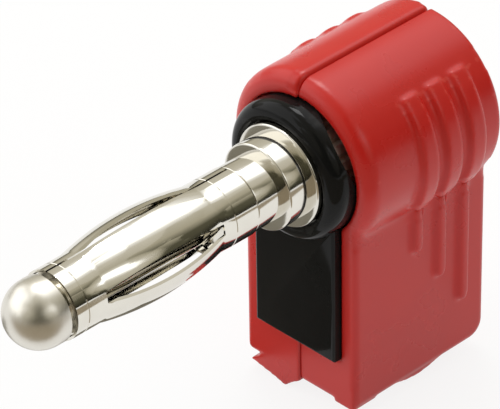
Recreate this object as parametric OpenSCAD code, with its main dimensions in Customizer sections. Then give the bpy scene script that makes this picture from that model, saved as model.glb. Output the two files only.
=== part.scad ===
// Angled banana plug: a sprung 4 mm pin in a black insulator, closed in by a grip of two halves.
// The origin lies on the pin's axis, at the shoulder that stops against a socket.
// The pin points along -Y, and the wire comes in from below, through the foot of the grip.

/* [Pin] */
// Diameter of the barrel behind the spring
barrel_d = 3.86; // [3.4:0.02:4.1]
// Length of the barrel
barrel_len = 1.8; // [1:0.1:4]
// Diameter of the rounded head
head_d = 3.8; // [3.6:0.02:4.1]
// Length of the head, from its rim to its tip
head_len = 2.5; // [2.1:0.1:5]
// Diameter of the first shoulder
shoulder_d = 5; // [4.4:0.1:5.6]
// Length of the first shoulder
shoulder_len = 1.47; // [0.6:0.01:3]
// Diameter of the second shoulder
collar_d = 5.94; // [5.7:0.02:6.4]
// Length of the second shoulder
collar_len = 1.25; // [0.8:0.05:2.5]
// Diameter over the knurled flange
knurl_d = 7.2; // [6.8:0.1:7.3]
// Length of the knurled flange
knurl_len = 2.35; // [1.6:0.05:4]
// Number of teeth round the knurled flange
knurl_teeth = 36; // [24:2:48]
// Depth of the knurl's grooves
knurl_depth = 0.22; // [0.1:0.02:0.35]
// Diameter of the tail that takes the wire
tail_d = 4.8; // [4.2:0.1:5.8]
// Length of the tail behind the flange
tail_len = 5.8; // [5.2:0.1:6.6]
// Bevel on the turned edges
pin_bevel = 0.12; // [0.05:0.01:0.25]

/* [Contact spring] */
// Length of the sprung sleeve
spring_len = 12.67; // [9:0.01:18]
// Outside diameter of the sleeve's two collars
sleeve_d = 3.96; // [3.8:0.02:4.2]
// Diameter over the bowed slats
bow_d = 4.9; // [4.4:0.1:5.6]
// Thickness of the spring sheet
sheet = 0.28; // [0.2:0.02:0.36]
// Length of the front collar
front_collar_len = 2.03; // [1:0.01:3]
// Length of the rear collar
rear_collar_len = 2.39; // [1:0.01:3]
// Reach of each slot into the collars
slot_reach = 0.1; // [0.04:0.02:0.3]
// Angle that each slot takes from the collars
slot_angle = 18; // [8:1:30]
// Width of the seam along the rolled sheet
seam_w = 0.14; // [0.06:0.02:0.3]
// Direction of the seam, from the top towards +X
seam_at = -8; // [-45:1:45]
// End play of the sleeve between head and barrel
end_play = 0.33; // [0.1:0.01:0.6]
// Diameter of the core between the two collars
core_d = 2.2; // [1.8:0.1:2.8]

/* [Insulator] */
// Outside diameter of the ring
ring_d = 8.1; // [7.8:0.1:8.6]
// Reach of the ring in front of the grip's face
ring_reach = 1.45; // [1.1:0.05:1.6]
// Rounding of the ring's front edge
ring_round = 0.8; // [0.2:0.05:0.9]
// Width of the front plate
plate_w = 5.9; // [4.6:0.1:6.4]
// Depth of the plate's lower edge below the pin's axis
plate_drop = 11.3; // [8:0.1:12]
// Height of the plate above the grip's face
plate_proud = 0.5; // [0.1:0.05:0.8]
// Thickness of the flange that the grip holds
keeper_t = 0.8; // [0.5:0.05:1.2]
// Reach of that flange past ring and plate
keeper_reach = 0.22; // [0.15:0.01:0.35]
// Width of the prying notch on each side of the ring, at the grip's face
notch_w = 4; // [2:0.1:4.4]
// Reach of the prying notch in front of the grip's face
notch_h = 0.5; // [0.3:0.05:0.9]
// Direction of the prying notches, from the top
notch_at = 52; // [45:1:60]

/* [Grip] */
// Diameter of the grip's round top
grip_d = 10.2; // [9.8:0.1:11]
// Length of the grip along the pin's axis
grip_len = 10.2; // [9.8:0.1:13]
// Width of the stem
stem_w = 8.1; // [7.6:0.1:9]
// Depth of the stem's foot below the pin's axis
stem_drop = 14.25; // [13.25:0.25:18]
// Distance of the grip's face behind the stop shoulder
face_y = 3.1; // [2.6:0.05:4]
// Height by which the left half stands above the right half
half_step = 0.24; // [0:0.02:0.4]
// Distance by which the left half stands in front of the right half
half_lead = 0.14; // [0:0.02:0.2]
// Rounding round the front of the top
front_round = 0.9; // [0.5:0.1:1.6]
// Rounding round the back
back_round = 0.35; // [0.2:0.05:0.8]
// Rounding of the stem's upright front edges
edge_round = 0.35; // [0.2:0.05:0.8]
// Rounding of the stem's lower side edges
foot_round = 0.35; // [0.2:0.05:0.8]
// Rounding of the stem's lower back edge
heel_round = 1; // [0.3:0.1:1.6]
// Thickness of the back wall
back_wall = 1.15; // [0.9:0.05:1.6]
// Thickness of the foot that the wire passes
foot_wall = 1.3; // [1:0.05:2]
// Radius of the round hollow behind the insulator
hollow_r = 3.3; // [3.1:0.05:3.4]
// Width of the wire space in the stem
wire_space_w = 5; // [4:0.1:5.6]
// Diameter of the cable hole in the foot
cable_d = 3.5; // [2:0.1:4.4]

/* [Finger ribs] */
// Distance of the first rib behind the grip's face
rib_first = 4.4; // [3.4:0.1:5]
// Distance from rib to rib
rib_pitch = 1.8; // [1.6:0.05:2.1]
// Height of a rib at its upper end
rib_h = 0.22; // [0.2:0.02:0.4]
// Shift of the top ribs out and down, which makes them higher towards their lower ends
rib_lean = 0.15; // [0:0.01:0.2]
// Width of a rib on the round top
rib_w = 1.4; // [0.8:0.1:1.5]
// Height of a rib on the stem
stem_rib_h = 0.36; // [0.2:0.02:0.5]
// Width of a rib on the stem
stem_rib_w = 1.1; // [0.6:0.1:1.4]
// Rounding of a rib's long edges
rib_round = 0.2; // [0.05:0.05:0.25]
// Direction of the ribs' upper ends, from the top
rib_start = 44; // [30:1:60]
// Distance of the ribs' ends from the crease between the top and the stem
rib_break = 0.45; // [0.3:0.05:0.6]
// Depth of the first stem rib's end below the pin's axis
rib_drop = 6.2; // [4.5:0.1:7]
// Extra depth of each stem rib behind it
rib_drop_step = 2.45; // [0.5:0.05:2.6]

/* [Foot tabs] */
// Depth of the tab under the left half
tab_drop = 0.85; // [0.5:0.05:1.5]
// Width of that tab
tab_w = 3.2; // [1.8:0.1:3.4]
// Thickness of that tab
tab_t = 0.9; // [0.5:0.1:1.3]
// Depth of the toe under the right half
toe_drop = 0.08; // [0.04:0.02:0.3]
// Depth of the swell under the right half
swell_drop = 0.26; // [0.1:0.02:0.4]
// Length of the toe at the front corner
toe_len = 1.8; // [1:0.1:2.5]
// Length of the swell below the side
swell_len = 3.2; // [2:0.1:4]
// Distance of the swell's middle behind the grip's face
swell_at = 5.1; // [4:0.1:7]

/* [Wire clamp] */
// Diameter of the wire hole up into the tail
wire_d = 1.8; // [1:0.1:2]
// Diameter of the clamp screw
screw_d = 2; // [1.6:0.1:2.4]
// Length of the clamp screw
screw_len = 1.8; // [1.4:0.1:2]
// Width of the screw's slot
screw_slot_w = 0.35; // [0.2:0.05:0.5]
// Depth of the screw's slot
screw_slot_h = 0.5; // [0.3:0.05:0.7]

/* [Locating pegs] */
// Diameter of the pegs that line up the two halves
peg_d = 0.7; // [0.5:0.05:0.8]
// Length of the pegs
peg_len = 1.2; // [0.8:0.1:1.6]

/* [Clearances] */
// Gap round the insulator and the pin's flange
seat_gap = 0.06; // [0.04:0.01:0.1]
// Running gap of the sleeve on the core
run_gap = 0.06; // [0.03:0.01:0.1]
// Gap between the two halves of the grip
parting_gap = 0.1; // [0.04:0.02:0.2]
// Gap round the screw and the pegs
slip_gap = 0.04; // [0.02:0.01:0.08]

/* [Hidden] */
$fn = 96;
slat_count = 4;
rib_count = 3;
// Straight pieces that stand for a slat's bow
bow_steps = 12;
// Reach of a cut past the face it opens
over = 0.4;

nickel = [0.76, 0.74, 0.69];
steel = [0.62, 0.63, 0.64];
black = [0.07, 0.07, 0.07];
red = [0.78, 0.15, 0.13];

// Stations along the pin, from the stop shoulder
barrel_front = -barrel_len;
sleeve_rear = barrel_front - run_gap;
sleeve_front = sleeve_rear - spring_len;
head_rim = sleeve_front - (end_play - run_gap);
head_tip = head_rim - head_len;
slots_front = sleeve_front + front_collar_len;
slots_rear = sleeve_rear - rear_collar_len;
collar_front = shoulder_len;
knurl_front = collar_front + collar_len;
knurl_rear = knurl_front + knurl_len;
tail_rear = knurl_rear + tail_len;

// The sleeve runs on two journals of the core
journal_r = sleeve_d / 2 - sheet - run_gap;
slat_angle = (360 - (slat_count - 1) * slot_angle - seam_w / (PI * sleeve_d) * 360) / slat_count;
slat_w = sleeve_d * sin(slat_angle / 2);
seam_half_angle = seam_w / (PI * sleeve_d) * 180;
bow_half = (slots_rear - slots_front) / 2;
bow_rise = (bow_d - sleeve_d) / 2;
bow_radius = (pow(bow_half, 2) + pow(bow_rise, 2)) / (2 * bow_rise);
bow_mid = (slots_rear + slots_front) / 2;

// The insulator reaches from in front of the grip back to the rear of the flange
ring_front = face_y - ring_reach;
plate_front = face_y - plate_proud;
keeper_rear = knurl_rear;
keeper_front = keeper_rear - keeper_t;
ring_r = ring_d / 2;
keeper_r = ring_r + keeper_reach;
notch_r = segment_r(notch_w, notch_h);

// The grip and its hollow
grip_r = grip_d / 2;
grip_rear = face_y + grip_len;
hollow_front = keeper_rear + seat_gap;
hollow_rear = grip_rear - back_wall;
foot_top = -stem_drop + foot_wall;
wire_y = (hollow_front + hollow_rear) / 2;
stem_top = -2;

// Radius of a circle's segment with this width and height
function segment_r(w, h) = (pow(w / 2, 2) + pow(h, 2)) / (2 * h);

// Lays a turned or extruded shape along the pin, so that its height runs along +Y
module along_y() {
    rotate([-90, 0, 0])
        children();
}

// Turns a shape made along +X round the pin, to an angle from the top towards +X
module to_angle(a) {
    rotate([0, a - 90, 0])
        children();
}

// A rectangle with its own radius at each corner, counted from the low corner
module rounded_rect(low, high, radii) {
    side_x = [-1, 1, 1, -1];
    side_y = [-1, -1, 1, 1];
    difference() {
        translate(low)
            square(high - low);
        for (i = [0 : 3])
            if (radii[i] > 0) {
                turn = [side_x[i], side_y[i]];
                corner = [turn.x > 0 ? high.x : low.x, turn.y > 0 ? high.y : low.y];
                translate(corner - turn * radii[i])
                    difference() {
                        translate([min(0, turn.x) * (radii[i] + over), min(0, turn.y) * (radii[i] + over)])
                            square(radii[i] + over);
                        circle(radii[i]);
                    }
            }
    }
}

// One turned step, bevelled at its front edge
module turned_step(r, front, rear) {
    polygon([[0, front], [r - pin_bevel, front], [r, front + pin_bevel], [r, rear], [0, rear]]);
}

module pin_profile() {
    head_r = head_d / 2;
    intersection() {
        translate([0, head_tip + head_r])
            circle(head_r);
        translate([0, head_tip])
            square([head_r, head_r]);
    }
    translate([0, head_tip + head_r])
        square([head_r, head_len - head_r]);
    translate([0, head_rim])
        square([journal_r, slots_front - head_rim]);
    translate([0, slots_front])
        square([core_d / 2, slots_rear - slots_front]);
    translate([0, slots_rear])
        square([journal_r, barrel_front - slots_rear]);
    turned_step(barrel_d / 2, barrel_front, 0);
    turned_step(shoulder_d / 2, 0, collar_front);
    turned_step(collar_d / 2, collar_front, knurl_front);
    translate([0, knurl_rear])
        rounded_rect([0, 0], [tail_d / 2, tail_len], [0, 0, pin_bevel * 3, 0]);
}

module knurled_flange() {
    knurl_r = knurl_d / 2;
    translate([0, 0, knurl_front])
        linear_extrude(knurl_len)
            polygon([
                for (i = [0 : 2 * knurl_teeth - 1])
                    let (a = i * 180 / knurl_teeth)
                    let (r = knurl_r - (i % 2) * knurl_depth)
                    [r * cos(a), r * sin(a)]
            ]);
}

// Turned pin: head, core, barrel, two shoulders, knurled flange and drilled tail
module pin() {
    color(nickel)
        difference() {
            along_y() {
                rotate_extrude()
                    pin_profile();
                knurled_flange();
            }
            translate([0, wire_y, -tail_d])
                cylinder(d = wire_d, h = tail_d + screw_d);
            translate([0, wire_y, 0])
                rotate([0, 90, 0])
                    cylinder(d = screw_d + 2 * slip_gap, h = tail_d);
        }
}

// Distance of the bowed sheet's outside from the pin's axis
function bow_r(y) = bow_d / 2 - bow_radius + sqrt(pow(bow_radius, 2) - pow(y - bow_mid, 2));

module spring_profile() {
    bow = [
        for (i = [0 : bow_steps])
            let (y = bow_mid + (2 * i / bow_steps - 1) * bow_half)
            [bow_r(y), y]
    ];
    outside = concat([[sleeve_d / 2, sleeve_front]], bow, [[sleeve_d / 2, sleeve_rear]]);
    inside = [for (i = [len(outside) - 1 : -1 : 0]) outside[i] - [sheet, 0]];
    polygon(concat(outside, inside));
}

// Gap between two slats, which keep their width where they bow out
module slot_cut(a, gap_angle) {
    half_pitch = (slat_angle + gap_angle) / 2;
    gap_w = sleeve_d * sin(gap_angle / 2);
    apex = slat_w / 2 / sin(half_pitch);
    along_y()
        rotate([0, 0, a - 90])
            translate([0, 0, slots_front - slot_reach])
                linear_extrude(slots_rear - slots_front + 2 * slot_reach) {
                    polygon([
                        [apex, 0],
                        [apex + bow_d * cos(half_pitch), bow_d * sin(half_pitch)],
                        [apex + bow_d * cos(half_pitch), -bow_d * sin(half_pitch)]
                    ]);
                    translate([0, -gap_w / 2])
                        square([bow_d, gap_w]);
                }
}

// Rolled sheet sleeve with bowed slats between its two collars, open along one seam
module contact_spring() {
    pitch = slat_angle + slot_angle;
    color(nickel)
        difference() {
            along_y()
                rotate_extrude()
                    spring_profile();
            for (i = [0 : slat_count - 2])
                slot_cut(seam_at + seam_half_angle + slat_angle + slot_angle / 2 + i * pitch, slot_angle);
            slot_cut(seam_at, 2 * seam_half_angle);
            to_angle(seam_at)
                translate([0, sleeve_front - over, -seam_w / 2])
                    cube([bow_d, spring_len + 2 * over, seam_w]);
        }
}

// Black moulding: ring round the pin, front plate below it, and the flange that the grip holds
module insulator() {
    color(black)
        difference() {
            union() {
                along_y()
                    rotate_extrude() {
                        rounded_rect([0, ring_front], [ring_r, keeper_rear], [0, ring_round, 0, 0]);
                        translate([0, keeper_front])
                            square([keeper_r, keeper_t]);
                    }
                translate([-plate_w / 2, plate_front, -plate_drop])
                    cube([plate_w, keeper_rear - plate_front, plate_drop]);
                translate([-plate_w / 2 - keeper_reach, keeper_front, -plate_drop - keeper_reach])
                    cube([plate_w + 2 * keeper_reach, keeper_t, plate_drop]);
            }
            along_y() {
                translate([0, 0, ring_front - over])
                    cylinder(d = collar_d + 2 * seat_gap, h = keeper_rear - ring_front + 2 * over);
                translate([0, 0, knurl_front - seat_gap])
                    cylinder(d = knurl_d + 2 * seat_gap, h = knurl_len + over);
            }
            for (a = [-notch_at, notch_at])
                to_angle(a)
                    translate([knurl_d / 2, face_y - notch_h + notch_r, 0])
                        rotate([0, 90, 0])
                            cylinder(r = notch_r, h = ring_r);
        }
}

// Slotted screw that presses the wire in the tail
module clamp_screw() {
    color(steel)
        translate([wire_d / 2 + slip_gap, wire_y, 0])
            difference() {
                rotate([0, 90, 0])
                    cylinder(d = screw_d, h = screw_len);
                translate([screw_len - screw_slot_h, -screw_slot_w / 2, -screw_d])
                    cube([screw_len, screw_slot_w, 2 * screw_d]);
            }
}

// Outside of the grip without its ribs: the round top and the stem
module grip_body() {
    along_y()
        rotate_extrude()
            rounded_rect([0, face_y], [grip_r, grip_rear], [0, front_round, back_round, 0]);
    intersection() {
        translate([0, 0, -stem_drop])
            linear_extrude(stem_drop + stem_top)
                rounded_rect(
                    [-stem_w / 2, face_y],
                    [stem_w / 2, grip_rear],
                    [edge_round, edge_round, back_round, back_round]
                );
        along_y()
            linear_extrude(grip_rear + over)
                rounded_rect(
                    [-stem_w / 2, 0],
                    [stem_w / 2, stem_drop],
                    [0, 0, foot_round, foot_round]
                );
        rotate([90, 0, 90])
            translate([0, 0, -stem_w])
                linear_extrude(2 * stem_w)
                    rounded_rect(
                        [face_y, -stem_drop],
                        [grip_rear, 0],
                        [foot_round, heel_round, 0, 0]
                    );
    }
}

// Finger ribs on the +X side: round the top, then beyond the crease down the stem, with rounded ends
module finger_ribs() {
    crease = 90 + acos(stem_w / grip_d);
    break_angle = rib_break / (PI * grip_d) * 360;
    end_r = stem_rib_w / 2;
    top_z = grip_r * cos(crease) - rib_break - end_r;
    for (i = [0 : rib_count - 1]) {
        y = face_y + rib_first + i * rib_pitch;
        end_z = -rib_drop - i * rib_drop_step + end_r;
        translate([rib_lean, 0, -rib_lean])
            along_y()
                rotate([0, 0, rib_start - 90])
                    rotate_extrude(angle = crease - break_angle - rib_start)
                        translate([grip_r, y])
                            rotate([0, 0, -90])
                                rib_profile(-rib_w / 2, rib_w / 2, rib_h, [0, 0, rib_round, rib_round]);
        translate([stem_w / 2, y, end_z])
            linear_extrude(top_z - end_z)
                rotate([0, 0, -90])
                    rib_profile(-end_r, end_r, stem_rib_h, [0, 0, rib_round, rib_round]);
        for (z = [end_z, top_z])
            translate([stem_w / 2, y, z])
                rotate([0, 90, 0])
                    rotate_extrude()
                        rib_profile(0, end_r, stem_rib_h, [0, 0, rib_round, 0]);
    }
}

// Cross-section of a rib, from below the surface up to its rounded edges
module rib_profile(low, high, h, radii) {
    rounded_rect([low, -2 * h], [high, h], radii);
}

// Everything that the two halves leave free: mouth, seat of the flange, hollow and cable hole
module grip_hollow() {
    mouth_r = ring_r + seat_gap;
    window_w = plate_w + 2 * seat_gap;
    keeper_w = window_w + 2 * keeper_reach;
    keeper_low = plate_drop + keeper_reach + seat_gap;
    along_y() {
        cylinder(r = mouth_r, h = hollow_front);
        translate([0, 0, keeper_front - seat_gap])
            cylinder(r = keeper_r + seat_gap, h = hollow_front - keeper_front + seat_gap);
        cylinder(r = hollow_r, h = hollow_rear);
    }
    translate([-window_w / 2, 0, -plate_drop - seat_gap])
        cube([window_w, hollow_front, plate_drop + seat_gap]);
    translate([-keeper_w / 2, keeper_front - seat_gap, -keeper_low])
        cube([keeper_w, hollow_front - keeper_front + seat_gap, keeper_low]);
    translate([-wire_space_w / 2, keeper_front, foot_top])
        cube([wire_space_w, hollow_rear - keeper_front, -foot_top]);
    translate([0, wire_y, -2 * stem_drop])
        cylinder(d = cable_d, h = 2 * stem_drop);
}

// Places along the parting face: over the hollow, in the back wall and in the foot
module peg_places() {
    top_wall_z = (grip_r + hollow_r) / 2;
    back_wall_y = grip_rear - back_wall / 2;
    foot_wall_z = -stem_drop + foot_wall / 2;
    heel_y = hollow_rear - peg_d;
    for (place = [[wire_y, top_wall_z], [back_wall_y, -stem_drop / 2], [heel_y, foot_wall_z]])
        translate([0, place[0], place[1]])
            rotate([0, 90, 0])
                children();
}

// Space on one side of the parting face: +1 right, -1 left
module half_space(side) {
    reach = 3 * stem_drop;
    translate([side * (reach + parting_gap) / 2, 0, 0])
        cube(reach, center = true);
}

// Left half, with the tab under its foot
module cover_left() {
    tab_left = -stem_w / 2 + edge_round;
    color(red)
        difference() {
            union() {
                intersection() {
                    translate([0, -half_lead, half_step])
                        union() {
                            grip_body();
                            mirror([1, 0, 0])
                                finger_ribs();
                        }
                    half_space(-1);
                }
                translate([0, face_y - half_lead + tab_t, -stem_drop])
                    rotate([90, 0, 0])
                        linear_extrude(tab_t)
                            polygon([
                                [tab_left + tab_w * 0.4, foot_wall / 2],
                                [tab_left, -tab_drop * 0.4],
                                [tab_left + tab_w * 0.55, -tab_drop * 0.75],
                                [tab_left + tab_w * 0.8, -tab_drop],
                                [tab_left + tab_w, -tab_drop * 0.35],
                                [-parting_gap / 2, 0],
                                [-parting_gap / 2, foot_wall / 2]
                            ]);
            }
            grip_hollow();
            peg_places()
                cylinder(d = peg_d + 2 * slip_gap, h = 2 * peg_len + parting_gap, center = true);
        }
}

// Toe and swell under the right half's foot, along its outer edge
module foot_pads() {
    pad_w = stem_w / 2 - wire_space_w / 2;
    swell_r = segment_r(swell_len, swell_drop);
    translate([stem_w / 2 - pad_w, 0, 0]) {
        translate([0, face_y, -stem_drop - toe_drop])
            linear_extrude(foot_wall)
                rounded_rect([0, 0], [pad_w, toe_len], [0, edge_round, 0, 0]);
        intersection() {
            translate([0, face_y + swell_at, -stem_drop - swell_drop + swell_r])
                rotate([0, 90, 0])
                    cylinder(r = swell_r, h = pad_w);
            translate([0, face_y, -stem_drop - foot_wall])
                cube([pad_w, grip_len - back_wall, foot_wall + heel_round]);
        }
    }
}

// Right half, with its foot pads and the pegs that line it up
module cover_right() {
    color(red) {
        difference() {
            union() {
                intersection() {
                    union() {
                        grip_body();
                        finger_ribs();
                    }
                    half_space(1);
                }
                foot_pads();
            }
            grip_hollow();
        }
        peg_places()
            translate([0, 0, parting_gap / 2 - peg_len])
                cylinder(d = peg_d, h = peg_len + foot_wall / 2);
    }
}

pin();
contact_spring();
insulator();
clamp_screw();
cover_left();
cover_right();
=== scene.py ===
import math

import bpy
from mathutils import Matrix, Vector


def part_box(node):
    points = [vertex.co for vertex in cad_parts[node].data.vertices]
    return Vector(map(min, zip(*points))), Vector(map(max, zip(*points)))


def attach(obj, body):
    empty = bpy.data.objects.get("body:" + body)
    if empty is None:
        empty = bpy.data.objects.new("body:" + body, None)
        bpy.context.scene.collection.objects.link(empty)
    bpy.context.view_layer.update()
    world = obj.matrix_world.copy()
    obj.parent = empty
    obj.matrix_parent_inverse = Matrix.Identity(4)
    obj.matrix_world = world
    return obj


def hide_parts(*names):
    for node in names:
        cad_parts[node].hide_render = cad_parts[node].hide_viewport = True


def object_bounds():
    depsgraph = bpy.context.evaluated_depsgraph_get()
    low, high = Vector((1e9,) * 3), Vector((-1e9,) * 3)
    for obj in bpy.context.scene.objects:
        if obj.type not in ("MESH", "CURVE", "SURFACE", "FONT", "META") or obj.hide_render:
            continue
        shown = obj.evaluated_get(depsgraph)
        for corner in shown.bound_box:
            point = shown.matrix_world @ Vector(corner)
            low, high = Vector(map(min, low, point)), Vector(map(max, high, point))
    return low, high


# A right-angle banana plug: a sprung pin, a black insulator and a red grip in two halves
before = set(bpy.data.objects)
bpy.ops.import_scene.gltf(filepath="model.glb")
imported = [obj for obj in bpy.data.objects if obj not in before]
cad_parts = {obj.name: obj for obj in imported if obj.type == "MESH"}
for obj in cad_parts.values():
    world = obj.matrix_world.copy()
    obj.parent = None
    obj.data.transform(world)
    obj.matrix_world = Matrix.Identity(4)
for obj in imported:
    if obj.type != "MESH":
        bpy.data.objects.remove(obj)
cad_low, cad_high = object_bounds()

# Pieces are modelled in millimetres and brought to metres when they are dressed
MM = 0.001


def solid_box(node):
    return [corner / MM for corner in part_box(node)]


pin_low, pin_high = solid_box("pin")
spring_low, spring_high = solid_box("contact_spring")
insulator_low, insulator_high = solid_box("insulator")
screw_low, screw_high = solid_box("clamp_screw")
left_low, left_high = solid_box("cover_left")
right_low, right_high = solid_box("cover_right")

# Pin
head_r = 1.9
head_gap = 0.27
journal_r = 1.78
neck_r = 1.2
neck_reach = 0.2
core_r = 1.1
core_reach = 0.4
barrel_r = 1.93
barrel_front = -1.8
shoulder_r = 2.5
collar_front = 1.47
collar_r = 2.97
knurl_front = 2.72
knurl_rear = insulator_high.y
knurl_r = 3.6
knurl_depth = 0.22
knurl_teeth = 24
points_per_tooth = 4
tail_r = 2.4
tail_round = 0.36
tail_flat_r = 0.1
pin_bevel = 0.1
wire_r = 0.9
wire_top = 2
wire_y = (screw_low.y + screw_high.y) / 2
screw_gap = 0.04

# Contact spring
sleeve_r = 1.98
sheet = 0.14
bow_r = 2.45
slots_front = spring_low.y + 2.03
slots_rear = spring_high.y - 2.39
slat_count = 4
slot_angle = math.radians(18)
seam_angle = math.radians(4.05)
seam_at = math.radians(-8)
line_depth = 0.03
line_w = 0.09
bow_steps = 40
front_line = -13.77
rear_line = -3.4

# Insulator
ring_front = insulator_low.y
ring_r = 4.05
ring_round = 0.8
ring_lip = 0.15
plate_w = 5.9
plate_drop = 11.3
plate_front = 2.6
plate_round = 0.18
keeper_t = 0.8
keeper_front = knurl_rear - keeper_t
keeper_reach = insulator_high.z - ring_r
notch_at = math.radians(52)
notch_r = 4.25
notch_h = 0.5
notch_floor = 2.95
seat_gap = 0.06

# Grip
face_y = right_low.y
grip_rear = right_high.y
grip_r = right_high.z
stem_half = 4.05
stem_low = -14.25
stem_top = -2
front_round = 0.9
back_round = 0.35
heel_round = 1.0
grip_flat_r = 0.2
half_step = left_high.z - right_high.z
half_lead = right_low.y - left_low.y
parting = 0.015
slice_spare = 0.6
hollow_r = 3.3
hollow_front = knurl_rear + seat_gap
back_wall = 1.15
hollow_rear = grip_rear - back_wall
wire_space_half = 2.5
foot_wall = 1.3
foot_top = stem_low + foot_wall
cable_r = 1.75
peg_r = 0.35
peg_len = 1.2
peg_root = 0.5
peg_round = 0.08
peg_sides = 32
socket_r = 0.39
peg_places = (
    (wire_y, (grip_r + hollow_r) / 2),
    (grip_rear - back_wall / 2, stem_low / 2),
    (hollow_rear - 2 * peg_r, stem_low + foot_wall / 2),
)

# Finger ribs
rib_count = 3
first_rib = face_y + 4.4
rib_pitch = 1.8
rib_half = 0.7
stem_rib_half = 0.55
rib_h = 0.21
rib_lean = 0.15
stem_rib_h = 0.36
rib_ramp = 0.3
rib_start = math.radians(44)
crease_at = math.pi / 2 + math.acos(stem_half / grip_r)
crease_z = grip_r * math.cos(crease_at)
rib_break = 0.45
first_drop = -6.2
drop_step = 2.45
# Rise at a rib's front and rear edges, as shares of its height
rib_front_rise = 0.9
rib_rear_rise = 0.6
# Start and end of a rib's crest, as shares of its ramp and of its half width
rib_crest_start = 1.5
rib_crest_end = 0.7
# Rounded end of a stem rib and place of its crest, as shares of its half width
stem_rib_round = 0.95
stem_crest_at = 0.9

# Foot
tab_low = left_low.z
tab_w = 3.2
tab_t = 0.9
tab_root = 0.65
tab_inset = 0.35
# Lower edge of the tab: places as shares of its width, and rises as shares of its drop
tab_edge = ((0.0, 0.6), (0.4, 0.34), (0.55, 0.25), (0.8, 0.0), (1.0, 0.65))
tab_inner_rise = 1.0
tab_outer_drop = 0.3
toe_drop = 0.08
toe_len = 1.8
swell_drop = stem_low - right_low.z
swell_len = 3.2
swell_y = face_y + 5.1
pad_w = stem_half - wire_space_half
pad_inset = 0.1

# Clamp screw
screw_r = 1.0
screw_slot_w = 0.35
screw_slot_h = 0.5
screw_round = 0.12

# Moulded softness of the grip
grip_voxel = 0.09
soft_passes = 6
soft_factor = 0.5
# Depth below the outside that the softening of ribs and crease takes in
skin = 0.2
step_soft = 0.7
step_facing = -0.3
step_passes = 44
crease_soft = 0.75
crease_passes = 24
rib_top_above = math.radians(7)
rib_top_below = math.radians(9)
rib_top_passes = 16

# Finishes
# Pointiness range over which convex edges get a painted highlight, a paler colour
painted_highlight_range = (0.52, 0.61)
scratch_range = (0.62, 0.72)
scratch_roughness = 0.12
head_satin = 0.24
grain_strength = 0.25
turning_depth = 0.004 * MM
matt = 0.9

# Camera, in millimetres from the plug's origin
camera_place = (130.92, -127.92, 125.48)
camera_back = (0.58958, -0.57358, 0.56868)
camera_roll = math.radians(-0.95)
camera_sensor = 36
camera_lens = 307.15
camera_near = 0.01

# Floor, cards that paint shade into reflections, and lamp
floor_size = 4
floor_colour = (0.9, 0.9, 0.9)
floor_glow = 0.86
card_turn = math.radians(45.8)
card_lift = 0.3
lamp_aim = (0, 4, -3)

# Room, with its ramp of tones from the dim side to the windows
top_window_at = (-0.3, 0.45, 0.84)
left_window_at = (-0.7, -0.5, 0.5)
left_window_lift = 0.12
pale_wall_at = (0.93, 0.05, 0.36)
pale_wall_edge = (0.86, 0.95)
pale_wall_level = (0.0, 0.72)
furniture_scale = 2.6
furniture_shift = 0.22
horizon_height = (0.0, 0.2)
horizon_level = (0.35, 1.0)
glare_edge = (0.92, 0.96)
glare_level = (1.1, 1.7)
room_tones = (
    (0.0, (0.05, 0.047, 0.032, 1)),
    (0.36, (0.09, 0.085, 0.055, 1)),
    (0.52, (0.42, 0.39, 0.30, 1)),
    (0.86, (0.62, 0.59, 0.51, 1)),
    (0.94, (1.0, 1.0, 0.99, 1)),
)
WHITE = (1, 1, 1, 1)

TURN_SIDES = 160
# Reach of a cut past the face it opens, and past the whole plug
OVER = 1.0
REACH = 30.0
# Least share of a normal along an axis, for a face that looks that way
FACING = 0.9
# Distance within which two places count as one
NEAR = 0.01


# Modelling steps

def deselect():
    bpy.ops.object.select_all(action="DESELECT")


def take(piece):
    """Makes one piece the only one that the next operators act on."""
    deselect()
    piece.select_set(True)
    bpy.context.view_layer.objects.active = piece
    return piece


def settle(piece):
    """Moves a piece's place, turn and scale into its mesh."""
    take(piece)
    bpy.ops.object.transform_apply(location=True, rotation=True, scale=True)
    return piece


def named(name):
    """Names the primitive just added and settles it."""
    piece = bpy.context.active_object
    piece.name = piece.data.name = name
    return settle(piece)


def block(name, low, high):
    """A box between two corners."""
    deselect()
    low, high = Vector(low), Vector(high)
    bpy.ops.mesh.primitive_cube_add(size=1, location=(low + high) / 2)
    bpy.context.active_object.scale = high - low
    return named(name)


def rod(name, start, end, radius, sides=96):
    """A round bar between two points."""
    deselect()
    start, end = Vector(start), Vector(end)
    along = end - start
    bpy.ops.mesh.primitive_cylinder_add(
        vertices=sides,
        radius=radius,
        depth=along.length,
        location=(start + end) / 2,
        rotation=along.to_track_quat("Z", "Y").to_euler(),
    )
    return named(name)


def turned(name, rings, sides=TURN_SIDES, capped=True):
    """A shape turned about the pin's axis, through rings of (place along Y, radius)."""
    deselect()
    first_y, first_r = rings[0]
    bpy.ops.mesh.primitive_circle_add(
        vertices=sides,
        radius=first_r,
        fill_type="NGON",
        location=(0, first_y, 0),
        rotation=(math.pi / 2, 0, 0),
    )
    piece = named(name)
    bpy.ops.object.mode_set(mode="EDIT")
    bpy.ops.mesh.select_mode(type="FACE")
    bpy.ops.mesh.select_all(action="SELECT")
    for (y, r), (next_y, next_r) in zip(rings, rings[1:]):
        bpy.ops.mesh.extrude_region_move(TRANSFORM_OT_translate={"value": (0, next_y - y, 0)})
        grow = next_r / r
        bpy.ops.transform.resize(value=(grow, 1, grow), center_override=(0, next_y, 0))
    if not capped:
        choose(piece, lambda middle, normal: middle.xz.length < core_r / 2)
        bpy.ops.mesh.delete(type="FACE")
    bpy.ops.mesh.select_all(action="SELECT")
    bpy.ops.mesh.normals_make_consistent(inside=False)
    bpy.ops.object.mode_set(mode="OBJECT")
    return piece


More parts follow.
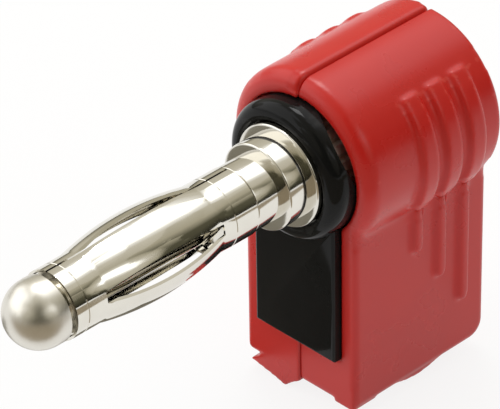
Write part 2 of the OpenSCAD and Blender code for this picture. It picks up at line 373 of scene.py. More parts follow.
def clear_choice(kind):
    """Leaves nothing selected, ready to select vertices, edges or faces one by one."""
    bpy.ops.object.mode_set(mode="EDIT")
    bpy.ops.mesh.select_mode(type=kind)
    bpy.ops.mesh.select_all(action="DESELECT")
    bpy.ops.object.mode_set(mode="OBJECT")


def choose(piece, test):
    """Selects, in edit mode, the faces whose middle and normal pass a test."""
    clear_choice("FACE")
    for face in piece.data.polygons:
        face.select = bool(test(face.center, face.normal))
    bpy.ops.object.mode_set(mode="EDIT")


def choose_edges(piece, test):
    """Selects, in edit mode, the edges whose two ends pass a test."""
    clear_choice("EDGE")
    points = piece.data.vertices
    for edge in piece.data.edges:
        edge.select = bool(test(points[edge.vertices[0]].co, points[edge.vertices[1]].co))
    bpy.ops.object.mode_set(mode="EDIT")


def round_edges(piece, width, segments, test):
    """Bevels the chosen edges to a round."""
    choose_edges(piece, test)
    bpy.ops.mesh.bevel(offset=width, offset_type="OFFSET", segments=segments, affect="EDGES")
    bpy.ops.object.mode_set(mode="OBJECT")
    return piece


def round_sharp(piece, width, segments, sharp=math.radians(50)):
    """Bevels every edge sharper than an angle."""
    take(piece)
    bpy.ops.object.mode_set(mode="EDIT")
    bpy.ops.mesh.select_mode(type="EDGE")
    bpy.ops.mesh.select_all(action="DESELECT")
    bpy.ops.mesh.edges_select_sharp(sharpness=sharp)
    bpy.ops.mesh.bevel(offset=width, offset_type="OFFSET", segments=segments, affect="EDGES")
    bpy.ops.object.mode_set(mode="OBJECT")
    return piece


def slice_off(piece, normal, place=(0, 0, 0)):
    """Cuts a piece at a plane and keeps the side that the normal points to."""
    take(piece)
    bpy.ops.object.mode_set(mode="EDIT")
    bpy.ops.mesh.select_all(action="SELECT")
    bpy.ops.mesh.bisect(plane_co=place, plane_no=normal, use_fill=True, clear_inner=True)
    bpy.ops.object.mode_set(mode="OBJECT")
    return piece


def apply_step(piece, kind, **values):
    """Adds a modifier, sets its values and applies it."""
    take(piece)
    step = piece.modifiers.new(kind.lower(), kind)
    for key, value in values.items():
        setattr(step, key, value)
    bpy.ops.object.modifier_apply(modifier=step.name)
    return piece


def combine(piece, tool, operation):
    apply_step(piece, "BOOLEAN", object=tool, operation=operation, solver="EXACT")
    bpy.data.objects.remove(tool)
    return piece


def cut(piece, *tools):
    for tool in tools:
        combine(piece, tool, "DIFFERENCE")
    return piece


def add(piece, *tools):
    for tool in tools:
        combine(piece, tool, "UNION")
    return piece


def turn_to(piece, angle):
    """Turns a piece made along +X round the pin, to an angle from the top towards +X."""
    piece.rotation_euler = (0, angle - math.pi / 2, 0)
    return settle(piece)


def arc(middle_y, middle_r, radius, start, end, steps):
    """Rings on a round, at angles in degrees from the front towards the outside."""
    rings = []
    for i in range(steps + 1):
        angle = math.radians(start + (end - start) * i / steps)
        rings.append((middle_y - radius * math.cos(angle), middle_r + radius * math.sin(angle)))
    return rings


def dress(piece, body, node, material, crease=40):
    """Shades a finished piece, gives it its finish and hands it to its body."""
    piece.scale = (MM, MM, MM)
    settle(piece)
    bpy.ops.object.shade_smooth_by_angle(angle=math.radians(crease))
    piece.data.materials.clear()
    piece.data.materials.append(material)
    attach(piece, body)
    if node:
        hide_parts(node)
    return piece


# Finishes

def make_group(name, inputs, outputs):
    """An empty node group with float inputs of (name, value) and named float outputs."""
    group = bpy.data.node_groups.new(name, "ShaderNodeTree")
    for label, value in inputs:
        socket = group.interface.new_socket(label, in_out="INPUT", socket_type="NodeSocketFloat")
        socket.default_value = value
    for label in outputs:
        group.interface.new_socket(label, in_out="OUTPUT", socket_type="NodeSocketFloat")
    return group


def node_in(tree, kind, **values):
    node = tree.nodes.new(kind)
    for key, value in values.items():
        setattr(node, key, value)
    return node


def math_in(tree, operation, first, second):
    """A Math node whose two inputs are sockets or numbers."""
    node = node_in(tree, "ShaderNodeMath", operation=operation)
    for socket, value in zip(node.inputs, (first, second)):
        if isinstance(value, (int, float)):
            socket.default_value = value
        else:
            tree.links.new(value, socket)
    return node.outputs[0]


def noise_in(tree, vector, scale, detail=3.0):
    node = node_in(tree, "ShaderNodeTexNoise")
    tree.links.new(vector, node.inputs["Vector"])
    if isinstance(scale, (int, float)):
        node.inputs["Scale"].default_value = scale
    else:
        tree.links.new(scale, node.inputs["Scale"])
    node.inputs["Detail"].default_value = detail
    return node.outputs["Fac"]


def range_in(tree, value, before, after=(0.0, 1.0)):
    """Brings a value from one range to another and holds it there."""
    node = node_in(tree, "ShaderNodeMapRange")
    labels = ("From Min", "From Max", "To Min", "To Max")
    for label, limit in zip(labels, (*before, *after)):
        node.inputs[label].default_value = limit
    tree.links.new(value, node.inputs["Value"])
    return node.outputs[0]


def make_handling_marks_and_edge_highlight():
    """Fine grain, faint smudges and a painted highlight along convex edges, for moulded plastic
    and plated metal alike.
    """
    group = make_group(
        "handling_marks_and_edge_highlight",
        [("Grain Scale", 9000.0), ("Smudge Scale", 400.0), ("Roughness", 0.3), ("Spread", 0.1)],
        ["Roughness", "Height", "Tone", "Edge"],
    )
    start = node_in(group, "NodeGroupInput")
    end = node_in(group, "NodeGroupOutput")
    place = node_in(group, "ShaderNodeTexCoord").outputs["Object"]
    grain = noise_in(group, place, start.outputs["Grain Scale"], 2.0)
    smudge = noise_in(group, place, start.outputs["Smudge Scale"], 4.0)
    centred = math_in(group, "SUBTRACT", smudge, 0.5)
    change = math_in(group, "MULTIPLY", centred, start.outputs["Spread"])
    doubled = math_in(group, "MULTIPLY", change, 2.0)
    rough = math_in(group, "ADD", start.outputs["Roughness"], doubled)
    group.links.new(rough, end.inputs["Roughness"])
    group.links.new(grain, end.inputs["Height"])
    group.links.new(smudge, end.inputs["Tone"])
    # Painted highlight: convex edges, found by pointiness, turn towards a paler colour in patches
    pointed = node_in(group, "ShaderNodeNewGeometry").outputs["Pointiness"]
    painted_edge_highlight = range_in(group, pointed, painted_highlight_range)
    group.links.new(math_in(group, "MULTIPLY", painted_edge_highlight, smudge), end.inputs["Edge"])
    return group


def make_turned_lines():
    """Fine rings left by turning, along the pin's axis, and a few scratches across them."""
    group = make_group(
        "turned_lines",
        [("Lines per Metre", 12000.0), ("Scratch Scale", 1500.0)],
        ["Height", "Scratch"],
    )
    start = node_in(group, "NodeGroupInput")
    end = node_in(group, "NodeGroupOutput")
    place = node_in(group, "ShaderNodeTexCoord").outputs["Object"]
    along = node_in(group, "ShaderNodeMapping")
    along.inputs["Scale"].default_value = (0.02, 1.0, 0.02)
    group.links.new(place, along.inputs["Vector"])
    rings = noise_in(group, along.outputs[0], start.outputs["Lines per Metre"], 2.0)
    across = node_in(group, "ShaderNodeMapping")
    across.inputs["Scale"].default_value = (1.0, 0.08, 1.0)
    across.inputs["Rotation"].default_value = (0.2, 0.0, 0.5)
    group.links.new(place, across.inputs["Vector"])
    marks = noise_in(group, across.outputs[0], start.outputs["Scratch Scale"], 5.0)
    group.links.new(rings, end.inputs["Height"])
    group.links.new(range_in(group, marks, scratch_range), end.inputs["Scratch"])
    return group


handling_marks_and_edge_highlight = make_handling_marks_and_edge_highlight()
turned_lines = make_turned_lines()


def new_material(name):
    """A material with its shader, and the node tree to build on."""
    material = bpy.data.materials.new(name)
    material.use_nodes = True
    tree = material.node_tree
    return material, tree, tree.nodes["Principled BSDF"]


def place_group(tree, group, **values):
    node = node_in(tree, "ShaderNodeGroup", node_tree=group)
    for label, value in values.items():
        node.inputs[label.replace("_", " ")].default_value = value
    return node


def blend_colours(tree, factor, low, high):
    """A colour that goes from low to high with a factor; each may be a colour or a socket."""
    mix = node_in(tree, "ShaderNodeMix", data_type="RGBA")
    tree.links.new(factor, mix.inputs["Factor"])
    for label, colour in (("A", low), ("B", high)):
        socket = [s for s in mix.inputs if s.name == label and s.type == "RGBA"][0]
        if isinstance(colour, tuple):
            socket.default_value = (*colour, 1.0)
        else:
            tree.links.new(colour, socket)
    return [s for s in mix.outputs if s.type == "RGBA"][0]


def bump(tree, shader, height, strength, distance):
    node = node_in(tree, "ShaderNodeBump")
    node.inputs["Strength"].default_value = strength
    node.inputs["Distance"].default_value = distance
    tree.links.new(height, node.inputs["Height"])
    tree.links.new(node.outputs[0], shader.inputs["Normal"])


def moulded_plastic(name, deep, pale, painted_edge_highlight, roughness, spread, gloss, grain, depth):
    """Moulded plastic with a fine grain, faint colour drift and a painted highlight that makes
    convex edges paler.
    """
    material, tree, shader = new_material(name)
    marks = place_group(
        tree, handling_marks_and_edge_highlight,
        Grain_Scale=grain, Smudge_Scale=350.0, Roughness=roughness, Spread=spread,
    )
    drift = blend_colours(tree, marks.outputs["Tone"], deep, pale)
    # Painted highlight: convex edges take the paler colour
    colour = blend_colours(tree, marks.outputs["Edge"], drift, painted_edge_highlight)
    tree.links.new(colour, shader.inputs["Base Color"])
    tree.links.new(marks.outputs["Roughness"], shader.inputs["Roughness"])
    shader.inputs["Specular IOR Level"].default_value = gloss
    bump(tree, shader, marks.outputs["Height"], grain_strength, depth)
    return material


def plated_metal(name, deep, pale, roughness, spread, line_strength):
    """Bright plating over turned metal, with fine rings, scratches and smudges."""
    material, tree, shader = new_material(name)
    shader.inputs["Metallic"].default_value = 1.0
    marks = place_group(
        tree, handling_marks_and_edge_highlight,
        Grain_Scale=5000.0, Smudge_Scale=600.0, Roughness=roughness, Spread=spread,
    )
    lines = place_group(tree, turned_lines, Lines_per_Metre=14000.0, Scratch_Scale=1500.0)
    colour = blend_colours(tree, marks.outputs["Tone"], deep, pale)
    tree.links.new(colour, shader.inputs["Base Color"])
    scratched = math_in(tree, "MULTIPLY", lines.outputs["Scratch"], scratch_roughness)
    rough = math_in(tree, "ADD", marks.outputs["Roughness"], scratched)
    bump(tree, shader, lines.outputs["Height"], line_strength, turning_depth)
    return material, tree, shader, rough


def make_pin_metal():
    """Polished behind the spring, satin on the rounded head."""
    material, tree, shader, rough = plated_metal(
        "nickel_plated_pin", deep=(0.70, 0.67, 0.60), pale=(0.80, 0.78, 0.72),
        roughness=0.09, spread=0.04, line_strength=0.05,
    )
    place = node_in(tree, "ShaderNodeTexCoord").outputs["Object"]
    split = node_in(tree, "ShaderNodeSeparateXYZ")
    tree.links.new(place, split.inputs[0])
    on_head = math_in(tree, "LESS_THAN", split.outputs["Y"], spring_low.y * MM)
    satin = math_in(tree, "MULTIPLY", on_head, head_satin)
    tree.links.new(math_in(tree, "ADD", rough, satin), shader.inputs["Roughness"])
    return material


def make_spring_metal():
    material, tree, shader, rough = plated_metal(
        "nickel_plated_spring", deep=(0.70, 0.67, 0.60), pale=(0.82, 0.80, 0.73),
        roughness=0.07, spread=0.04, line_strength=0.12,
    )
    tree.links.new(rough, shader.inputs["Roughness"])
    return material


def make_flange_metal():
    """Satin, as the tool left the flutes."""
    material, tree, shader, rough = plated_metal(
        "satin_flange", deep=(0.72, 0.69, 0.62), pale=(0.82, 0.80, 0.74),
        roughness=0.45, spread=0.06, line_strength=0.1,
    )
    tree.links.new(rough, shader.inputs["Roughness"])
    return material


def make_screw_metal():
    material, tree, shader, rough = plated_metal(
        "turned_screw_steel", deep=(0.52, 0.53, 0.55), pale=(0.64, 0.65, 0.67),
        roughness=0.25, spread=0.08, line_strength=0.4,
    )
    tree.links.new(rough, shader.inputs["Roughness"])
    return material


pin_metal = make_pin_metal()
spring_metal = make_spring_metal()
flange_metal = make_flange_metal()
screw_metal = make_screw_metal()
# The third colour of the black moulding is a painted highlight on its convex edges
black_plastic = moulded_plastic(
    "glossy_black_moulding",
    deep=(0.005, 0.005, 0.005), pale=(0.010, 0.010, 0.010), painted_edge_highlight=(0.025, 0.025, 0.025),
    roughness=0.08, spread=0.06, gloss=0.13, grain=7000.0, depth=0.004 * MM,
)
# The third, paler red is a painted highlight on the grip's convex edges
red_plastic = moulded_plastic(
    "red_grip_moulding",
    deep=(0.54, 0.013, 0.010), pale=(0.60, 0.018, 0.012), painted_edge_highlight=(0.64, 0.055, 0.042),
    roughness=0.29, spread=0.1, gloss=0.42, grain=6000.0, depth=0.006 * MM,
)


# Pin and its knurled flange

def make_pin():
    head_rim = spring_low.y - head_gap
    rings = arc(pin_low.y + head_r, 0, head_r, start=1, end=90, steps=36)
    rings += arc(head_rim - pin_bevel, head_r - pin_bevel, pin_bevel, start=90, end=180, steps=4)
    rings += [
        (head_rim, neck_r),
        (spring_low.y + neck_reach, neck_r),
        (spring_low.y + neck_reach, journal_r),
        (slots_front - core_reach, journal_r),
        (slots_front - core_reach + pin_bevel, core_r),
        (slots_rear + core_reach - pin_bevel, core_r),
        (slots_rear + core_reach, journal_r),
        (barrel_front, journal_r),
    ]
    steps = (
        (barrel_r, barrel_front, 0.0),
        (shoulder_r, 0.0, collar_front),
        (collar_r, collar_front, knurl_front),
        (knurl_r - knurl_depth, knurl_front, knurl_rear),
    )
    for radius, front, rear in steps:
        rings += arc(front + pin_bevel, radius - pin_bevel, pin_bevel, start=0, end=90, steps=4)
        rings.append((rear, radius))
    rings.append((knurl_rear, tail_r))
    tail_middle = (pin_high.y - tail_round, tail_r - tail_round)
    rings += arc(*tail_middle, tail_round, start=90, end=180, steps=6)
    rings.append((pin_high.y, tail_flat_r))
    pin = turned("pin_turned", rings)
    wire_hole = rod("wire_hole", (0, wire_y, -REACH), (0, wire_y, wire_top), wire_r)
    screw_hole = rod("screw_hole", (0, wire_y, 0), (REACH, wire_y, 0), screw_r + screw_gap)
    cut(pin, wire_hole, screw_hole)
    dress(pin, "plug", "pin", pin_metal, crease=25)


def make_knurl():
    sides = points_per_tooth * knurl_teeth
    rings = [
        (knurl_front, knurl_r - pin_bevel),
        (knurl_front + pin_bevel, knurl_r),
        (knurl_rear, knurl_r),
    ]
    knurl = turned("pin_knurl", rings, sides)
    clear_choice("VERT")
    for point in knurl.data.vertices:
        step = round(math.atan2(point.co.z, point.co.x) / (2 * math.pi) * sides)
        point.select = step % points_per_tooth == 0
    bpy.ops.object.mode_set(mode="EDIT")
    valley = 1 - knurl_depth / knurl_r
    bpy.ops.transform.resize(value=(valley, 1, valley), center_override=(0, knurl_front, 0))
    bpy.ops.object.mode_set(mode="OBJECT")
    dress(knurl, "plug", None, flange_metal, crease=15)


# Contact spring

def bow_radius_at(y, rise=bow_r - sleeve_r):
    """Outside radius of the bowed slats at a place along the pin."""
    half = (slots_rear - slots_front) / 2
    radius = (half ** 2 + rise ** 2) / (2 * rise)
    offset = y - (slots_rear + slots_front) / 2
    return bow_r - radius + math.sqrt(radius ** 2 - offset ** 2)


def line_rings(y):
    """A fine groove round a collar."""
    return [
        (y - line_w / 2, sleeve_r),
        (y - line_w / 6, sleeve_r - line_depth),
        (y + line_w / 6, sleeve_r - line_depth),
        (y + line_w / 2, sleeve_r),
    ]


def slot_tool(angle, gap_angle, slat_angle):
    """The gap between two slats, which keep their width where they bow out."""
    half_pitch = (slat_angle + gap_angle) / 2
    gap = sleeve_r * math.sin(gap_angle / 2)
    slat_half = sleeve_r * math.sin(slat_angle / 2)
    apex = slat_half / math.sin(half_pitch)
    widen = apex + gap / math.tan(half_pitch)
    flare = bow_r
    tool = block("slot_tool", (core_r, slots_front, -gap), (widen, slots_rear, gap))
    choose(tool, lambda middle, normal: normal.x > FACING)
    bpy.ops.mesh.extrude_region_move(TRANSFORM_OT_translate={"value": (flare, 0, 0)})
    spread = (gap + flare * math.tan(half_pitch)) / gap
    centre = (widen, (slots_front + slots_rear) / 2, 0)
    bpy.ops.transform.resize(value=(1, 1, spread), center_override=centre)
    bpy.ops.object.mode_set(mode="OBJECT")
    return turn_to(tool, angle)


def make_spring():
    rings = [(spring_low.y, sleeve_r)] + line_rings(front_line)
    for i in range(bow_steps + 1):
        y = slots_front + (slots_rear - slots_front) * i / bow_steps
        rings.append((y, bow_radius_at(y)))
    rings += line_rings(rear_line) + [(spring_high.y, sleeve_r)]
    spring = turned("spring_sleeve", rings, capped=False)
    apply_step(spring, "SOLIDIFY", thickness=sheet, offset=-1.0)
    slat_angle = (2 * math.pi - (slat_count - 1) * slot_angle - seam_angle) / slat_count
    for i in range(slat_count - 1):
        angle = seam_at + seam_angle / 2 + (i + 1) * slat_angle + (i + 0.5) * slot_angle
        cut(spring, slot_tool(angle, slot_angle, slat_angle))
    cut(spring, slot_tool(seam_at, seam_angle, slat_angle))
    seam_half = sleeve_r * math.sin(seam_angle / 2)
    seam = block("seam_tool", (core_r, -REACH, -seam_half), (REACH, 0, seam_half))
    cut(spring, turn_to(seam, seam_at))
    dress(spring, "spring", "contact_spring", spring_metal, crease=25)


# Insulator

def make_insulator():
    rings = [(ring_front, collar_r)]
    round_middle = (ring_front + ring_round, ring_r - ring_round)
    rings += arc(*round_middle, ring_round, start=0, end=90, steps=14)
    rings += [
        (keeper_front, ring_r),
        (keeper_front, ring_r + keeper_reach),
        (knurl_rear, ring_r + keeper_reach),
    ]
    ring = turned("insulator_moulding", rings)
    plate_half = plate_w / 2
    plate = block("plate", (-plate_half, plate_front, -plate_drop), (plate_half, knurl_rear, 0))
    round_edges(plate, plate_round, 4, lambda a, b: max(a.y, b.y) < plate_front + OVER)
    keeper_half = plate_half + keeper_reach
    keeper = block(
        "keeper",
        (-keeper_half, keeper_front, insulator_low.z),
        (keeper_half, knurl_rear, -keeper_reach),
    )
    add(ring, plate, keeper)
    lip = turned("lip_tool", [
        (ring_front - OVER, collar_r + seat_gap + ring_lip + OVER),
        (ring_front + ring_lip, collar_r + seat_gap),
        (knurl_front - seat_gap, collar_r + seat_gap),
        (knurl_front - seat_gap, knurl_r + seat_gap),
        (knurl_rear + OVER, knurl_r + seat_gap),
    ])
    cut(ring, lip)
    notch_y = face_y - notch_h + notch_r
    for side in (-1, 1):
        ends = (notch_floor, notch_y, 0), (knurl_r + ring_r, notch_y, 0)
        notch = rod("notch_tool", *ends, notch_r)
        cut(ring, turn_to(notch, side * notch_at))
    dress(ring, "plug", "insulator", black_plastic, crease=35)


# Grip

def grip_head():
    front_middle = (face_y + front_round, grip_r - front_round)
    back_middle = (grip_rear - back_round, grip_r - back_round)
    rings = [(face_y, grip_flat_r)]
    rings += arc(*front_middle, front_round, start=0, end=90, steps=12)
    rings += arc(*back_middle, back_round, start=90, end=180, steps=6)
    rings += [(grip_rear, grip_flat_r)]
    return turned("grip_head", rings)


def grip_stem():
    stem = block("grip_stem", (-stem_half, face_y, stem_low), (stem_half, grip_rear, stem_top))
    round_edges(
        stem, heel_round, 8,
        lambda a, b: min(a.y, b.y) > grip_rear - OVER and max(a.z, b.z) < stem_low + OVER,
    )
    return round_sharp(stem, back_round, 4)


def head_rib(side, y):
    """A rib round the top: steep in front, falling behind and higher towards its lower end."""
    base = grip_r - 2 * rib_h
    rings = [
        (y - rib_half, base),
        (y - rib_half + rib_ramp, grip_r + rib_h * rib_front_rise),
        (y - rib_half + rib_ramp * rib_crest_start, grip_r + rib_h),
        (y + rib_half * rib_crest_end, grip_r + rib_h),
        (y + rib_half, grip_r + rib_h * rib_rear_rise),
        (y + rib_half, base),
    ]
    rib = turned("head_rib", rings)
    rib.location = (side * rib_lean, 0, -rib_lean)
    settle(rib)
    slice_off(rib, (side * math.cos(rib_start), 0, -math.sin(rib_start)))
    rib_end = crease_at - rib_break / grip_r
    return slice_off(rib, (-side * math.cos(rib_end), 0, math.sin(rib_end)))


def stem_rib(side, y, low):
    """A rib down the stem with a rounded lower end."""
    crest_x = side * (stem_half + stem_rib_h)
    inner, outer = sorted((side * (stem_half - stem_rib_h), crest_x))
    rib = block("stem_rib", (inner, y - stem_rib_half, low), (outer, y + stem_rib_half, crease_z))
    round_edges(
        rib, stem_rib_half * stem_rib_round, 8,
        lambda a, b: max(a.z, b.z) < low + stem_rib_half and abs(a.x - b.x) > stem_rib_h,
    )
    choose(rib, lambda middle, normal: side * normal.x > FACING)
    bpy.ops.transform.resize(
        value=(1, 1 - rib_ramp / stem_rib_half, 1 - rib_ramp / (crease_z - low)),
        center_override=(crest_x, y + stem_rib_half * stem_crest_at, crease_z),
    )
    bpy.ops.object.mode_set(mode="OBJECT")
    return rib


def grip_outside(side):
    """The outside of one half before it is hollowed: round top, stem and ribs."""
    outside = grip_head()
    add(outside, grip_stem())
    for i in range(rib_count):
        y = first_rib + i * rib_pitch
        add(outside, head_rib(side, y), stem_rib(side, y, first_drop - i * drop_step))
    return outside


def hollow_tools():
    """Everything that the two halves leave free: mouth, flange seat, hollow and cable hole."""
    mouth_r = ring_r + seat_gap
    window = plate_w / 2 + seat_gap
    seat = window + keeper_reach
    seat_r = mouth_r + keeper_reach
    seat_front = keeper_front - seat_gap
    seat_low = insulator_low.z - seat_gap
    wire_half = wire_space_half
    return [
        rod("mouth", (0, -OVER, 0), (0, hollow_front, 0), mouth_r, TURN_SIDES),
        rod("flange_seat", (0, seat_front, 0), (0, hollow_front, 0), seat_r, TURN_SIDES),
        rod("hollow", (0, 0, 0), (0, hollow_rear, 0), hollow_r, TURN_SIDES),
        block("window", (-window, -OVER, -plate_drop - seat_gap), (window, hollow_front, 0)),
        block("plate_seat", (-seat, seat_front, seat_low), (seat, hollow_front, 0)),
        block("wire_space", (-wire_half, keeper_front, foot_top), (wire_half, hollow_rear, 0)),
        rod("cable_hole", (0, wire_y, -REACH), (0, wire_y, foot_top + OVER), cable_r),
    ]


def soften(half):
    """Softens all edges as a moulding has them."""
    apply_step(half, "REMESH", mode="VOXEL", voxel_size=grip_voxel)
    return apply_step(half, "SMOOTH", factor=soft_factor, iterations=soft_passes)


def ease(half, passes, test):
    """Smooths the faces of a half that pass a test."""
    choose(half, test)
    bpy.ops.mesh.vertices_smooth(factor=soft_factor, repeat=passes)
    bpy.ops.object.mode_set(mode="OBJECT")


def in_crease(middle, normal):
    """The soft crease between the round top and the stem, where the ribs' ends melt away."""
    return abs(middle.x) > stem_half - skin and abs(middle.z - crease_z) < crease_soft


def on_rib_tops(middle, normal):
    """The band where the ribs' upper ends run out on the round top."""
    angle = math.atan2(abs(middle.x), middle.z)
    in_band = rib_start - rib_top_above < angle < rib_start + rib_top_below
    return in_band and middle.xz.length > grip_r - skin


def on_step(middle, normal):
    """The left half's top edge along the parting line, where it stands above the right half."""
    above = middle.z > grip_r + half_step - front_round
    return above and middle.x > -step_soft and normal.z > step_facing


def make_tab():
    """The torn tab under the left half's foot, which points out to the left."""
    left = -stem_half + tab_inset
    drop = stem_low - tab_low
    root = stem_low + tab_root
    tab = block("foot_tab", (left, left_low.y, tab_low), (-parting, left_low.y + tab_t, root))
    lower_edge = [(left + tab_w * share, rise) for share, rise in tab_edge]
    lower_edge.append((-parting, tab_inner_rise))
    for edge_x, _ in lower_edge[1:-1]:
        bpy.ops.object.mode_set(mode="EDIT")
        bpy.ops.mesh.select_all(action="SELECT")
        bpy.ops.mesh.bisect(plane_co=(edge_x, 0, 0), plane_no=(1, 0, 0))
        bpy.ops.object.mode_set(mode="OBJECT")
    for edge_x, rise in lower_edge:
        choose_edges(
            tab,
            lambda a, b: max(abs(a.x - edge_x), abs(b.x - edge_x)) < NEAR
            and max(a.z, b.z) < stem_low,
        )
        bpy.ops.transform.translate(value=(0, 0, rise * drop))
        bpy.ops.object.mode_set(mode="OBJECT")
    choose_edges(tab, lambda a, b: max(a.x, b.x) < left + NEAR and min(a.z, b.z) > stem_low)
    bpy.ops.transform.translate(value=(0, 0, -tab_root - tab_outer_drop * drop))
    bpy.ops.object.mode_set(mode="OBJECT")
    return tab


def make_cover_left():
    half = grip_outside(-1)
    half.location = (0, -half_lead, half_step)
    settle(half)
    add(half, make_tab())
    cut(half, *hollow_tools())
    for y, z in peg_places:
        cut(half, rod("socket", (-peg_len, y, z), (OVER, y, z), socket_r, peg_sides))
    slice_off(half, (-1, 0, 0), (-parting, 0, 0))
    soften(half)
    ease(half, crease_passes, in_crease)
    ease(half, rib_top_passes, on_rib_tops)
    ease(half, step_passes, on_step)
    half.name = "grip_left"
    dress(half, "plug", "cover_left", red_plastic, crease=180)


def make_foot_pads():
    """Toe and swell along the outer edge under the right half's foot."""
    inner, outer = stem_half - pad_w, stem_half - pad_inset
    toe_low = stem_low - toe_drop
    toe = block("toe", (inner, face_y, toe_low), (outer, face_y + toe_len, foot_top))
    swell_r = ((swell_len / 2) ** 2 + swell_drop ** 2) / (2 * swell_drop)
    middle_z = stem_low - swell_drop + swell_r
    swell = rod("swell", (inner, swell_y, middle_z), (outer, swell_y, middle_z), swell_r)
    low = (0, swell_y - swell_len, stem_low - OVER)
    limit = block("swell_limit", low, (REACH, swell_y + swell_len, foot_top))
    combine(swell, limit, "INTERSECT")
    return toe, swell


def make_cover_right():
    half = grip_outside(1)
    slice_off(half, (1, 0, 0), (-slice_spare, 0, 0))
    add(half, *make_foot_pads())
    cut(half, *hollow_tools())
    soften(half)
    ease(half, crease_passes, in_crease)
    ease(half, rib_top_passes, on_rib_tops)
    slice_off(half, (1, 0, 0), (parting, 0, 0))
    half.name = "grip_right"
    dress(half, "cover", "cover_right", red_plastic, crease=180)


def make_pegs():
    """Pegs of the right half that line up the two halves."""
    pegs = None
    for y, z in peg_places:
        ends = (parting - peg_len, y, z), (parting + peg_root, y, z)
        peg = rod("locating_pegs", *ends, peg_r, peg_sides)
        round_sharp(peg, peg_round, 3)
        pegs = add(pegs, peg) if pegs else peg
    dress(pegs, "cover", None, red_plastic)


# Clamp screw

def make_screw():
    screw = rod("screw_turned", (screw_low.x, wire_y, 0), (screw_high.x, wire_y, 0), screw_r)
    round_sharp(screw, screw_round, 3)
    slot = block(
        "slot_tool",
        (screw_high.x - screw_slot_h, wire_y - screw_slot_w / 2, -REACH),
        (REACH, wire_y + screw_slot_w / 2, REACH),
    )
    cut(screw, slot)
    dress(screw, "screw", "clamp_screw", screw_metal)


make_pin()
make_knurl()
make_spring()
make_insulator()
make_cover_left()
make_cover_right()
make_pegs()
make_screw()


# Camera at the photograph's angle

def make_camera():
    place = Vector(camera_place) * MM
    back = Vector(camera_back).normalized()
    right = Vector((0, 0, 1)).cross(back).normalized()
    up = back.cross(right)
    turned_right = right * math.cos(camera_roll) + up * math.sin(camera_roll)
    turned_up = up * math.cos(camera_roll) - right * math.sin(camera_roll)
    data = bpy.data.cameras.new("camera")
    data.sensor_width = camera_sensor
    data.lens = camera_lens
    data.clip_start = camera_near
    camera = bpy.data.objects.new("camera", data)
    bpy.context.scene.collection.objects.link(camera)
    turn = Matrix((turned_right, turned_up, back)).transposed().to_4x4()
    camera.matrix_world = Matrix.Translation(place) @ turn
    bpy.context.scene.camera = camera


# Pale floor, a dim warm room for the metal to reflect, two cards of painted shade seen only in
# reflections, and a soft lamp

def matt_material(name, colour):
    material, tree, shader = new_material(name)
    shader.inputs["Base Color"].default_value = (*colour, 1)
    shader.inputs["Roughness"].default_value = matt
    return material, tree, shader


def show_mixed(tree, factor, first, second, output):
    """Goes from one shader to another with a factor and sends the result to an output node."""
    mix = node_in(tree, "ShaderNodeMixShader")
    for socket, source in zip(mix.inputs, (factor, first, second)):
        tree.links.new(source, socket)
    tree.links.new(mix.outputs[0], tree.nodes[output].inputs["Surface"])


def make_floor():
    deselect()
    bpy.ops.mesh.primitive_plane_add(size=floor_size, location=(0, 0, cad_low.z))
    floor = named("floor")
    material, tree, shader = matt_material("pale_floor", floor_colour)
    glow = node_in(tree, "ShaderNodeEmission")
    glow.inputs["Color"].default_value = WHITE
    path = node_in(tree, "ShaderNodeLightPath")
    seen = math_in(tree, "MAXIMUM", path.outputs["Is Camera Ray"], path.outputs["Is Glossy Ray"])
    seen = math_in(tree, "MAXIMUM", seen, path.outputs["Is Transmission Ray"])
    factor = math_in(tree, "MULTIPLY", seen, floor_glow)
    show_mixed(tree, factor, shader.outputs[0], glow.outputs[0], "Material Output")
    material.cycles.emission_sampling = "NONE"
    floor.data.materials.append(material)


def facing(tree, place, direction):
    """How far a direction of the room lies towards the given one: 1 straight at it."""
    node = node_in(tree, "ShaderNodeVectorMath", operation="DOT_PRODUCT")
    node.inputs[1].default_value = Vector(direction).normalized()
    tree.links.new(place, node.inputs[0])
    return node.outputs["Value"]


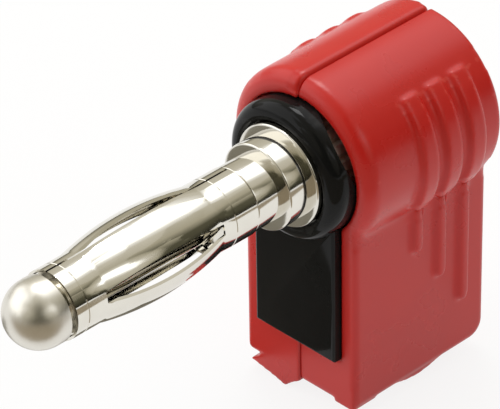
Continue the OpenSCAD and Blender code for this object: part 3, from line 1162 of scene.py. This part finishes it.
def make_room():
    """A dim warm room with a bright window side, which gives the metal something to mirror."""
    world = bpy.data.worlds.new("room")
    world.use_nodes = True
    bpy.context.scene.world = world
    tree = world.node_tree
    place = node_in(tree, "ShaderNodeTexCoord").outputs["Generated"]
    top_window = facing(tree, place, top_window_at)
    left_window = math_in(tree, "ADD", facing(tree, place, left_window_at), left_window_lift)
    window = math_in(tree, "MAXIMUM", top_window, left_window)
    furniture = node_in(tree, "ShaderNodeTexVoronoi", distance="CHEBYCHEV")
    furniture.inputs["Scale"].default_value = furniture_scale
    tree.links.new(place, furniture.inputs["Vector"])
    patch = node_in(tree, "ShaderNodeSeparateColor")
    tree.links.new(furniture.outputs["Color"], patch.inputs[0])
    centred = math_in(tree, "SUBTRACT", patch.outputs[0], 0.5)
    shift = math_in(tree, "MULTIPLY", centred, furniture_shift)
    wall = range_in(tree, facing(tree, place, pale_wall_at), pale_wall_edge, pale_wall_level)
    towards = math_in(tree, "ADD", math_in(tree, "ADD", window, shift), wall)
    ramp = node_in(tree, "ShaderNodeValToRGB")
    tree.links.new(towards, ramp.inputs[0])
    stops = ramp.color_ramp.elements
    stops[0].position, stops[0].color = room_tones[0]
    stops[1].position, stops[1].color = room_tones[-1]
    for position, colour in room_tones[1:-1]:
        stops.new(position).color = colour
    split = node_in(tree, "ShaderNodeSeparateXYZ")
    tree.links.new(place, split.inputs[0])
    horizon = range_in(tree, split.outputs["Z"], horizon_height, horizon_level)
    glare = range_in(tree, towards, glare_edge, glare_level)
    room = tree.nodes["Background"]
    tree.links.new(ramp.outputs[0], room.inputs["Color"])
    tree.links.new(math_in(tree, "MULTIPLY", horizon, glare), room.inputs["Strength"])
    white = node_in(tree, "ShaderNodeBackground")
    white.inputs["Color"].default_value = WHITE
    seen = node_in(tree, "ShaderNodeLightPath").outputs["Is Camera Ray"]
    show_mixed(tree, seen, room.outputs[0], white.outputs[0], "World Output")


def make_reflection_shade_card(name, place, size, colour):
    """A card on the floor, seen only in reflections, which paints a darker reflection, as shade,
    into glossy faces.
    """
    deselect()
    middle = (place[0] * MM, place[1] * MM, cad_low.z + card_lift * MM)
    bpy.ops.mesh.primitive_plane_add(size=1, location=middle, rotation=(0, 0, card_turn))
    bpy.context.active_object.scale = (size[0] * MM, size[1] * MM, 1)
    card = named(name)
    material, _, _ = matt_material(name, colour)
    card.data.materials.append(material)
    card.visible_camera = False
    card.visible_diffuse = False
    card.visible_shadow = False


def make_lamp(name, place, size, level):
    """A square soft lamp aimed at the grip; level 1 lights a facing white surface to white."""
    place = Vector(place) * MM
    aim = Vector(lamp_aim) * MM
    data = bpy.data.lights.new(name, "AREA")
    data.size = size * MM
    data.energy = level * math.pi ** 2 * (place - aim).length ** 2
    lamp = bpy.data.objects.new(name, data)
    bpy.context.scene.collection.objects.link(lamp)
    lamp.location = place
    lamp.rotation_euler = (place - aim).to_track_quat("Z", "Y").to_euler()


make_camera()
make_floor()
# Painted shade in reflections: cards seen only by glossy rays darken what the black moulding, the
# red faces and the pin mirror
make_reflection_shade_card("grey_reflection_shade", place=(-14.65, -12.92), size=(37, 9), colour=(0.2, 0.19, 0.16))
make_reflection_shade_card("brown_reflection_shade", place=(651.7, -649.0), size=(500, 1800), colour=(0.34, 0.29, 0.22))
make_room()
make_lamp("top_lamp", place=(-70, 60, 190), size=70, level=0.22)

bpy.context.scene.view_settings.view_transform = "Standard"
